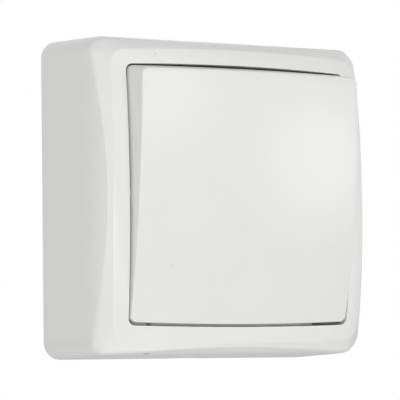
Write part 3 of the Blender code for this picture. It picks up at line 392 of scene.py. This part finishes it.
def ledge_outline(side):
    outer = OPENING_HALF[0] + LIP_THICKNESS - JOIN_STEP
    inner = OPENING_HALF[0] + OPENING_EDGE / 2
    shelf = OPENING_HALF[0] - LEDGE_REACH
    top = LIP_DEPTH + OVERRUN
    front = LEDGE_DEPTH + LEDGE_THICKNESS
    return [(LEDGE_DEPTH, side * outer), (LEDGE_DEPTH, side * shelf), (front, side * shelf),
            (front, side * inner), (top, side * inner), (top, side * outer)]


def centring_rib(side):
    half = RIB_HEIGHT / 2
    radius = (half ** 2 + RIB_PROUD ** 2) / (2 * RIB_PROUD)
    spread = math.asin(half / radius)
    root = OPENING_HALF[0] + OVERRUN
    outline = [(side * root, -half)]
    for i in range(CENTRING_RIB_STEPS + 1):
        angle = spread * (2 * i / CENTRING_RIB_STEPS - 1)
        sag = radius * math.cos(angle) - (radius - RIB_PROUD)
        outline.append((side * (OPENING_HALF[0] - sag), radius * math.sin(angle)))
    outline.append((side * root, half))
    top = FRONT_DEPTH - FRONT_DROP * (OPENING_HALF[0] / BODY_HALF) ** 2 - OPENING_EDGE - JOIN_STEP
    return prism(f"centring_rib_{side}", outline, LIP_DEPTH + JOIN_STEP, top)


def make_housing():
    housing = skin("housing_shell", housing_rows(), closed=True)
    helpers = []
    for side in (1, -1):
        ledge = prism(f"ledge_{side}", ledge_outline(side),
                      -LEDGE_HALF_LENGTH, LEDGE_HALF_LENGTH, "x")
        helpers.append((ledge, "UNION"))
        helpers.append((centring_rib(side), "UNION"))
    half = LEDGE_NOTCH_WIDTH / 2
    notch = rectangle(-LEDGE_NOTCH_OFFSET - half, -LEDGE_NOTCH_OFFSET + half,
                      -OPENING_HALF[0], LEDGE_REACH + OVERRUN - OPENING_HALF[0])
    front = LEDGE_DEPTH + LEDGE_THICKNESS
    cutter = prism("ledge_notch", notch, LEDGE_DEPTH - OVERRUN, front + OVERRUN)
    helpers.append((cutter, "DIFFERENCE"))
    inner = BODY_HALF - WALL_THICKNESS
    for side in (1, -1):
        for offset in (-SNAP_ARM_OFFSET, SNAP_ARM_OFFSET):
            half = SNAP_RECESS_WIDTH / 2
            recess = rectangle(offset - half, offset + half,
                               side * (inner - OVERRUN), side * SNAP_RECESS_HALF)
            helpers.append((prism("snap_recess", recess, *SNAP_RECESS_DEPTHS), "DIFFERENCE"))
    half = KNOCKOUT_WIDTH / 2
    pocket = rectangle(-half, half, inner - OVERRUN, BODY_HALF - KNOCKOUT_SKIN)
    helpers.append((prism("knockout_pocket", pocket, -OVERRUN, KNOCKOUT_DEPTH), "DIFFERENCE"))
    half = PRY_SLOT_WIDTH / 2
    slot = rectangle(-half, half, -inner + OVERRUN, -BODY_HALF - OVERRUN)
    helpers.append((prism("pry_slot", slot, -OVERRUN, PRY_SLOT_DEPTH), "DIFFERENCE"))
    combined(housing, helpers)
    smooth(housing)
    return housing


# Rocker

def face_row(outline, share, below):
    # A row on the rocker's dome, or the given distance behind it, placed from the tilt axis.
    scaled = outline * share
    return placed(scaled, dome_depth(scaled) + ROCKER_PROUD - PIVOT_DEPTH - below)


def rocker_rows():
    wide = np.array((ROCKER_STRETCH, 1.0))
    outside = bulged_square(ROCKER_HALF, ROCKER_CORNER_RADIUS) * wide
    # How much of the top's own shape each point has, from 0 to 1
    up = np.clip((outside[:, 1] / ROCKER_HALF[0] - ROCKER_TOP_START) / ROCKER_TOP_SPAN, 0.0, 1.0)
    rounding_size = ROCKER_EDGE + (ROCKER_TOP_EDGE - ROCKER_EDGE) * up ** 2 * (3 - 2 * up)
    outside[:, 1] += ROCKER_TOP_RISE * up
    rim = outside.copy()
    rim[:, 1] -= ROCKER_TOP_LEAN * up
    face = rim * (1 - rounding_size / ROCKER_HALF[0])[:, None]
    inner_half = (ROCKER_HALF[0] - CAP_THICKNESS, ROCKER_HALF[1] - CAP_THICKNESS)
    inside = bulged_square(inner_half, CAP_INNER_CORNER) * wide
    skirt_inside = placed(inside, -SKIRT_LENGTH)
    skirt_outside = placed(outside, -SKIRT_LENGTH)
    lean_start = face_row(outside, 1.0, ROCKER_LEAN_HEIGHT)
    corner = face_row(rim, 1.0, 0.0)
    under_corner = face_row(inside, 1.0, CAP_THICKNESS)
    rows = [face_row(inside, share, CAP_THICKNESS) for share in UNDERSIDE_SHARES]
    rows.append(under_corner)
    rows += edge(under_corner, skirt_inside, skirt_outside, SKIRT_EDGE, SMALL_EDGE_ROWS)
    rows += edge(skirt_inside, skirt_outside, lean_start, SKIRT_EDGE, SMALL_EDGE_ROWS)
    rounding = edge(lean_start, corner, face_row(face, 1.0, 0.0), rounding_size, ROCKER_EDGE_ROWS)
    rows += between(rows[-1], lean_start, SKIRT_ROWS) + [lean_start]
    rows += between(lean_start, rounding[0], LEAN_ROWS) + rounding
    rows += [face_row(face, share, 0.0) for share in FACE_SHARES]
    return rows


def stiffener_outline(z):
    reach = ROCKER_HALF[1] * ROCKER_STRETCH - CAP_THICKNESS / 2
    root = []
    for i in range(STIFFENER_STEPS + 1):
        x = reach * (2 * i / STIFFENER_STEPS - 1)
        depth = dome_depth_at(x, z)
        root.append((x, depth + ROCKER_PROUD - PIVOT_DEPTH - CAP_THICKNESS / 2))
    return root + [(x, depth - STIFFENER_HEIGHT) for x, depth in reversed(root)]


def make_rocker():
    rocker = skin("rocker_shell", rocker_rows(), closed=False)
    helpers = []
    root = FRONT_DEPTH + ROCKER_PROUD - CAP_THICKNESS / 2 - PIVOT_DEPTH
    nose_top = -CRADLE_HALF_THICKNESS - CRADLE_GAP
    nose_end = nose_top - CLIP_NOSE_HEIGHT
    outer = CLIP_INNER + CLIP_THICKNESS
    for side in (1, -1):
        clip = [(nose_end, side * outer), (nose_end, side * CLIP_INNER),
                (nose_top, side * (CLIP_INNER - CLIP_NOSE)), (nose_top, side * CLIP_INNER),
                (root, side * CLIP_INNER), (root, side * outer)]
        helpers.append((prism("clip", clip, -CLIP_HALF_WIDTH, CLIP_HALF_WIDTH, "x"), "UNION"))
        middle = side * STIFFENER_OFFSET
        half = STIFFENER_THICKNESS / 2
        stiffener = prism("stiffener", stiffener_outline(middle), middle - half, middle + half, "z")
        helpers.append((stiffener, "UNION"))
        middle = side * SUPPORT_RIB_OFFSET
        half = SUPPORT_RIB_THICKNESS / 2
        outline = rectangle(middle - half, middle + half, -SUPPORT_RIB_END, SUPPORT_RIB_END)
        rib = prism("support_rib", outline, CRADLE_HALF_THICKNESS + CRADLE_GAP, root)
        helpers.append((rib, "UNION"))
    combined(rocker, helpers)
    axis = Vector(rocker_joint["pos_m"])
    rocker.data.transform(Matrix.Translation(axis) @ Matrix.Rotation(TILT, 4, "X"))
    smooth(rocker)
    return rocker


# Materials

NOISE_BAND = (0.3, 0.7)             # the part of a noise's values that is spread over a range
PLASTIC_CLOUD = 70                  # noise scales, per metre
FINE_GRAIN = 2200
COARSE_GRAIN = 1500
GRAIN_DETAIL = 4.0
FINE_GRAIN_DEPTH = 0.000004
COARSE_GRAIN_DEPTH = 0.000008
PLASTIC_TINTS = (0.985, 1.015)      # factors on the colour
PLASTIC_ROUGHNESS = (-0.02, 0.03)   # steps from the roughness
METAL_STREAKS = 900
STREAK_DETAIL = 2.0
STREAK_DEPTH = 0.000006
METAL_CLOUD = 240
METAL_TINTS = (0.86, 1.06)
METAL_ROUGHNESS = (-0.06, 0.08)
MARK_CORE = 0.5                     # the share of a mark's radius that has its full colour
WELD_DISTANCE = 0.000002
BEVEL_SEGMENTS = 2
BEVEL_ANGLE = 35
WHITE = (0.86, 0.86, 0.845)
HOUSING_ROUGHNESS = 0.31
ROCKER_ROUGHNESS = 0.305
ROCKER_PAINTED_SHADE = 0.98                 # painted shade: the rocker's white a little darker than the housing's, standing in for the shade on the rocker

# Edge roundings of the carried-over nodes
PLATE_EDGE = 0.0002
MOULDING_EDGE = 0.00015
STRIP_EDGE = 0.00006
CLAMP_EDGE = 0.00008


def add_node(tree, kind, **sockets):
    node = tree.nodes.new(kind)
    for name, value in sockets.items():
        node.inputs[name.replace("_", " ")].default_value = value
    return node


def start_material(name, colour, roughness, metallic=0.0):
    mat = bpy.data.materials.new(name)
    mat.use_nodes = True
    tree = mat.node_tree
    shader = tree.nodes["Principled BSDF"]
    shader.inputs["Base Color"].default_value = (*colour, 1.0)
    shader.inputs["Roughness"].default_value = roughness
    shader.inputs["Metallic"].default_value = metallic
    return mat, tree, shader


def object_place(tree, stretch=(1.0, 1.0, 1.0)):
    coordinates = tree.nodes.new("ShaderNodeTexCoord")
    mapping = tree.nodes.new("ShaderNodeMapping")
    mapping.inputs["Scale"].default_value = stretch
    tree.links.new(coordinates.outputs["Object"], mapping.inputs["Vector"])
    return mapping.outputs["Vector"]


def noise(tree, place, scale, detail=3.0):
    node = add_node(tree, "ShaderNodeTexNoise", Scale=scale, Detail=detail)
    tree.links.new(place, node.inputs["Vector"])
    return node.outputs["Factor"] if "Factor" in node.outputs else node.outputs["Fac"]


def ranged(tree, value, low, high):
    node = tree.nodes.new("ShaderNodeMapRange")
    node.inputs["From Min"].default_value = NOISE_BAND[0]
    node.inputs["From Max"].default_value = NOISE_BAND[1]
    node.inputs["To Min"].default_value = low
    node.inputs["To Max"].default_value = high
    tree.links.new(value, node.inputs["Value"])
    return node.outputs["Result"]


def mixed(tree, factor, first, second):
    # A colour between two, which are sockets or (r, g, b).
    node = tree.nodes.new("ShaderNodeMix")
    node.data_type = "RGBA"
    tree.links.new(factor, node.inputs["Factor"])
    for name, value in (("A", first), ("B", second)):
        socket = next(s for s in node.inputs if s.name == name and s.type == "RGBA")
        if isinstance(value, tuple):
            socket.default_value = (*value, 1.0)
        else:
            tree.links.new(value, socket)
    return next(s for s in node.outputs if s.type == "RGBA")


def add_bump(tree, shader, height, depth):
    bump = tree.nodes.new("ShaderNodeBump")
    bump.inputs["Strength"].default_value = 1.0
    bump.inputs["Distance"].default_value = depth
    tree.links.new(height, bump.inputs["Height"])
    tree.links.new(bump.outputs["Normal"], shader.inputs["Normal"])


def shaded(colour, factor):
    return tuple(c * factor for c in colour)


def plastic(name, colour, roughness, grain=FINE_GRAIN, depth=FINE_GRAIN_DEPTH, marks=()):
    # Moulded plastic: a fine sparked grain, faint clouding, and marks as (centre, radii, colour).
    mat, tree, shader = start_material(name, colour, roughness)
    place = object_place(tree)
    cloud = noise(tree, place, PLASTIC_CLOUD)
    fine = noise(tree, place, grain, GRAIN_DETAIL)
    tint = mixed(tree, cloud, *(shaded(colour, factor) for factor in PLASTIC_TINTS))
    for centre, radii, stain in marks:
        tint = mixed(tree, mark_mask(tree, centre, radii), tint, stain)
    rough = ranged(tree, cloud, *(roughness + step for step in PLASTIC_ROUGHNESS))
    tree.links.new(tint, shader.inputs["Base Color"])
    tree.links.new(rough, shader.inputs["Roughness"])
    add_bump(tree, shader, fine, depth)
    return mat


def mark_mask(tree, centre, radii):
    # 1 inside an ellipsoid round a point, falling to 0 over its outer part.
    coordinates = tree.nodes.new("ShaderNodeTexCoord")
    mapping = tree.nodes.new("ShaderNodeMapping")
    mapping.vector_type = "TEXTURE"
    mapping.inputs["Location"].default_value = centre
    mapping.inputs["Scale"].default_value = radii
    tree.links.new(coordinates.outputs["Object"], mapping.inputs["Vector"])
    length = tree.nodes.new("ShaderNodeVectorMath")
    length.operation = "LENGTH"
    tree.links.new(mapping.outputs["Vector"], length.inputs[0])
    fade = tree.nodes.new("ShaderNodeMapRange")
    fade.interpolation_type = "SMOOTHSTEP"
    fade.inputs["From Min"].default_value = 1.0
    fade.inputs["From Max"].default_value = MARK_CORE
    tree.links.new(length.outputs["Value"], fade.inputs["Value"])
    return fade.outputs["Result"]


def metal(name, colour, roughness, stretch):
    # Rolled or drawn metal: streaks along one way, with a little tarnish.
    mat, tree, shader = start_material(name, colour, roughness, 1.0)
    streaks = noise(tree, object_place(tree, stretch), METAL_STREAKS, STREAK_DETAIL)
    cloud = noise(tree, object_place(tree), METAL_CLOUD)
    tint = mixed(tree, cloud, *(shaded(colour, factor) for factor in METAL_TINTS))
    rough = ranged(tree, streaks, *(roughness + step for step in METAL_ROUGHNESS))
    tree.links.new(tint, shader.inputs["Base Color"])
    tree.links.new(rough, shader.inputs["Roughness"])
    add_bump(tree, shader, streaks, STREAK_DEPTH)
    return mat


def dress(node, mat, edge_width=0.0):
    # Gives a carried-over node its finish and, where it has crisp edges, a small rounding on them.
    obj = frame["nodes"][node]
    obj.data.materials.clear()
    obj.data.materials.append(mat)
    if edge_width:
        weld = obj.modifiers.new("weld", "WELD")
        weld.merge_threshold = WELD_DISTANCE
        bevel = obj.modifiers.new("edges", "BEVEL")
        bevel.width = edge_width
        bevel.segments = BEVEL_SEGMENTS
        bevel.limit_method = "ANGLE"
        bevel.angle_limit = math.radians(BEVEL_ANGLE)
        bevel.harden_normals = True


# Surface marks, seen in the photograph: small grey specks and a brownish nick. Each speck has its
# place (x, z), its radius and its grey level.
RING_SPECKS = ((-0.0226, 0.0329, 0.00025, 0.52),)
ROCKER_SPECKS = (
    (-0.0209, -0.0161, 0.00024, 0.66),
    (-0.0115, -0.0177, 0.00018, 0.72),
    (-0.0034, -0.0219, 0.00022, 0.75),
)
NICK_CENTRE = (-0.0229, -0.0229, -0.0371)
NICK_RADII = (0.0012, 0.0012, 0.0005)
NICK_COLOUR = (0.36, 0.32, 0.24)
SPECK_REACH = 3               # a speck's depth over its width, so that it reaches the surface


def ring_point(x, z):
    return (x, -dome_depth_at(x, z), z)


def rocker_point(x, z):
    # The point of the tilted face that lies at (x, z) when the rocker is level.
    level = Vector(ring_point(x, z)) + Vector((0.0, PIVOT_DEPTH - ROCKER_PROUD, 0.0))
    place = Vector(rocker_joint["pos_m"]) + Matrix.Rotation(TILT, 3, "X") @ level
    return tuple(place)


def speck_marks(specks, point):
    return [(point(x, z), (radius, SPECK_REACH * radius, radius), (grey, grey, grey))
            for x, z, radius, grey in specks]


def dress_model(housing, rocker):
    marks = speck_marks(RING_SPECKS, ring_point) + [(NICK_CENTRE, NICK_RADII, NICK_COLOUR)]
    white = plastic("white_moulding", WHITE, HOUSING_ROUGHNESS, marks=marks)
    housing.data.materials.append(white)
    marks = speck_marks(ROCKER_SPECKS, rocker_point)
    # The rocker's finish is the housing's white with painted shade over the whole rocker.
    white = plastic("rocker_moulding", shaded(WHITE, ROCKER_PAINTED_SHADE), ROCKER_ROUGHNESS, marks=marks)
    rocker.data.materials.append(white)

    coarse = (COARSE_GRAIN, COARSE_GRAIN_DEPTH)
    plate = plastic("base_moulding", (0.74, 0.74, 0.72), 0.5, *coarse)
    grey = plastic("mechanism_moulding", (0.56, 0.56, 0.54), 0.48, *coarse)
    cradle = plastic("cradle_moulding", (0.70, 0.70, 0.68), 0.42)
    ivory = plastic("plunger_moulding", (0.82, 0.78, 0.68), 0.3)
    brass = metal("terminal_brass", (0.72, 0.53, 0.25), 0.34, (1.0, 6.0, 0.08))
    silver = metal("contact_silver", (0.82, 0.82, 0.80), 0.28, (1.0, 1.0, 1.0))
    zinc = metal("zinc_plated_steel", (0.66, 0.67, 0.69), 0.32, (1.0, 0.3, 1.0))
    spring = metal("spring_steel", (0.50, 0.50, 0.52), 0.26, (1.0, 3.0, 1.0))
    dress("base_plate", plate, PLATE_EDGE)
    dress("mechanism_base", grey, MOULDING_EDGE)
    dress("mechanism_cover", grey, MOULDING_EDGE)
    dress("rocker_cradle", cradle, MOULDING_EDGE)
    dress("plunger", ivory)
    dress("plunger_spring", spring)
    dress("moving_contact", brass, STRIP_EDGE)
    for word in ("common", "upper", "lower"):
        dress(f"{word}_terminal", brass, STRIP_EDGE)
        dress(f"clamp_plate_{word}", zinc, CLAMP_EDGE)
        dress(f"terminal_screw_{word}", zinc)
    for word in ("upper", "lower"):
        dress(f"fixed_tip_{word}", silver)
        dress(f"moving_tip_{word}", silver)
    for word in ("left", "right"):
        dress(f"mechanism_screw_{word}", zinc)


# Studio

CAMERA_AZIMUTH = -31.2962
CAMERA_ELEVATION = -3.4102
CAMERA_ROLL = -0.6943
CAMERA_DISTANCE = 0.67732
CAMERA_TARGET = (0.005921, 0.0, 0.0009)
CAMERA_LENS = 247.603
FLOOR_LEVEL = -0.125
FLOOR_HALF = 1.2
FLOOR_COLOUR = (0.88, 0.88, 0.875)
FLOOR_TINTS = ((0.86, 0.86, 0.855), (0.90, 0.90, 0.895))
FLOOR_ROUGHNESS = 0.7
FLOOR_GRAIN = 60
FLOOR_GRAIN_DEPTH = 0.0002
PLAIN_WHITE = (1.0, 1.0, 1.0, 1.0)
WORLD_STRENGTH = 0.36
SEEN_STRENGTH = 1.0

# Each light: where it stands as seen from the switch (azimuth, elevation), its distance, its width
# and height, and its power in watts.
LIGHTS = {
    "front_box": (10, 26, 0.9, 0.50, 0.40, 0.7399),
    "near_box": (14, 7, 0.9, 0.20, 0.18, 0.349),
    "right_box": (44, -1, 0.9, 0.20, 0.18, 0.80),
    "left_box": (-80, 8, 0.9, 0.60, 0.40, 0.85),
    "camera_box": (-31.3, -3.4, 0.9, 0.05, 0.04, 2.05),
    "under_box": (-8, -76, 0.115, 0.12, 0.05, 0.018),
    "back_box": (170, 30, 1.0, 0.80, 0.60, 0.4),
}


def direction(azimuth, elevation):
    # From the switch towards a place in the studio. Azimuth 0 is straight in front, and it grows
    # to the right.
    a = math.radians(azimuth)
    e = math.radians(elevation)
    return Vector((math.sin(a) * math.cos(e), -math.cos(a) * math.cos(e), math.sin(e)))


def make_camera():
    back = direction(CAMERA_AZIMUTH, CAMERA_ELEVATION)
    right = (-back).cross(Vector((0, 0, 1))).normalized()
    up = right.cross(-back)
    turn = Matrix.Rotation(math.radians(CAMERA_ROLL), 3, back)
    axes = Matrix((turn @ right, turn @ up, back)).transposed()
    data = bpy.data.cameras.new("camera")
    data.lens = CAMERA_LENS
    camera = bpy.data.objects.new("camera", data)
    place = Vector(CAMERA_TARGET) + back * CAMERA_DISTANCE
    camera.matrix_world = Matrix.Translation(place) @ axes.to_4x4()
    bpy.context.scene.collection.objects.link(camera)
    bpy.context.scene.camera = camera


def make_light(name, azimuth, elevation, distance, width, height, power):
    data = bpy.data.lights.new(name, "AREA")
    data.shape = "RECTANGLE"
    data.size = width
    data.size_y = height
    data.energy = power
    light = bpy.data.objects.new(name, data)
    way = direction(azimuth, elevation)
    light.location = way * distance
    light.rotation_euler = way.to_track_quat("Z", "Y").to_euler()
    light.visible_camera = False
    bpy.context.scene.collection.objects.link(light)


def make_world():
    # White to camera, glossy and transmission rays, and weaker as light.
    world = bpy.data.worlds.new("studio")
    world.use_nodes = True
    tree = world.node_tree
    soft = tree.nodes["Background"]
    soft.inputs["Color"].default_value = PLAIN_WHITE
    soft.inputs["Strength"].default_value = WORLD_STRENGTH
    seen = add_node(tree, "ShaderNodeBackground", Color=PLAIN_WHITE, Strength=SEEN_STRENGTH)
    path = tree.nodes.new("ShaderNodeLightPath")
    either = tree.nodes.new("ShaderNodeMath")
    either.operation = "MAXIMUM"
    also = tree.nodes.new("ShaderNodeMath")
    also.operation = "MAXIMUM"
    tree.links.new(path.outputs["Is Camera Ray"], either.inputs[0])
    tree.links.new(path.outputs["Is Glossy Ray"], either.inputs[1])
    tree.links.new(either.outputs[0], also.inputs[0])
    tree.links.new(path.outputs["Is Transmission Ray"], also.inputs[1])
    mix = tree.nodes.new("ShaderNodeMixShader")
    tree.links.new(also.outputs[0], mix.inputs["Fac"])
    tree.links.new(soft.outputs["Background"], mix.inputs[1])
    tree.links.new(seen.outputs["Background"], mix.inputs[2])
    tree.links.new(mix.outputs["Shader"], tree.nodes["World Output"].inputs["Surface"])
    bpy.context.scene.world = world


def make_floor():
    bm = bmesh.new()
    corners = rectangle(-FLOOR_HALF, FLOOR_HALF, -FLOOR_HALF, FLOOR_HALF)
    bm.faces.new([bm.verts.new((x, y, FLOOR_LEVEL)) for x, y in corners])
    floor = make_object("floor", bm)
    mat, tree, shader = start_material("pale_floor", FLOOR_COLOUR, FLOOR_ROUGHNESS)
    grain = noise(tree, object_place(tree), FLOOR_GRAIN)
    tree.links.new(mixed(tree, grain, *FLOOR_TINTS), shader.inputs["Base Color"])
    add_bump(tree, shader, grain, FLOOR_GRAIN_DEPTH)
    floor.data.materials.append(mat)


bpy.context.scene.view_settings.view_transform = "Standard"
make_camera()
make_world()
make_floor()
for light_name, settings in LIGHTS.items():
    make_light(light_name, *settings)

housing_shell = make_housing()
rocker_shell = make_rocker()
dress_model(housing_shell, rocker_shell)
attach(housing_shell, "base")
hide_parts("housing")
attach(rocker_shell, "rocker")
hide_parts("rocker_cap")
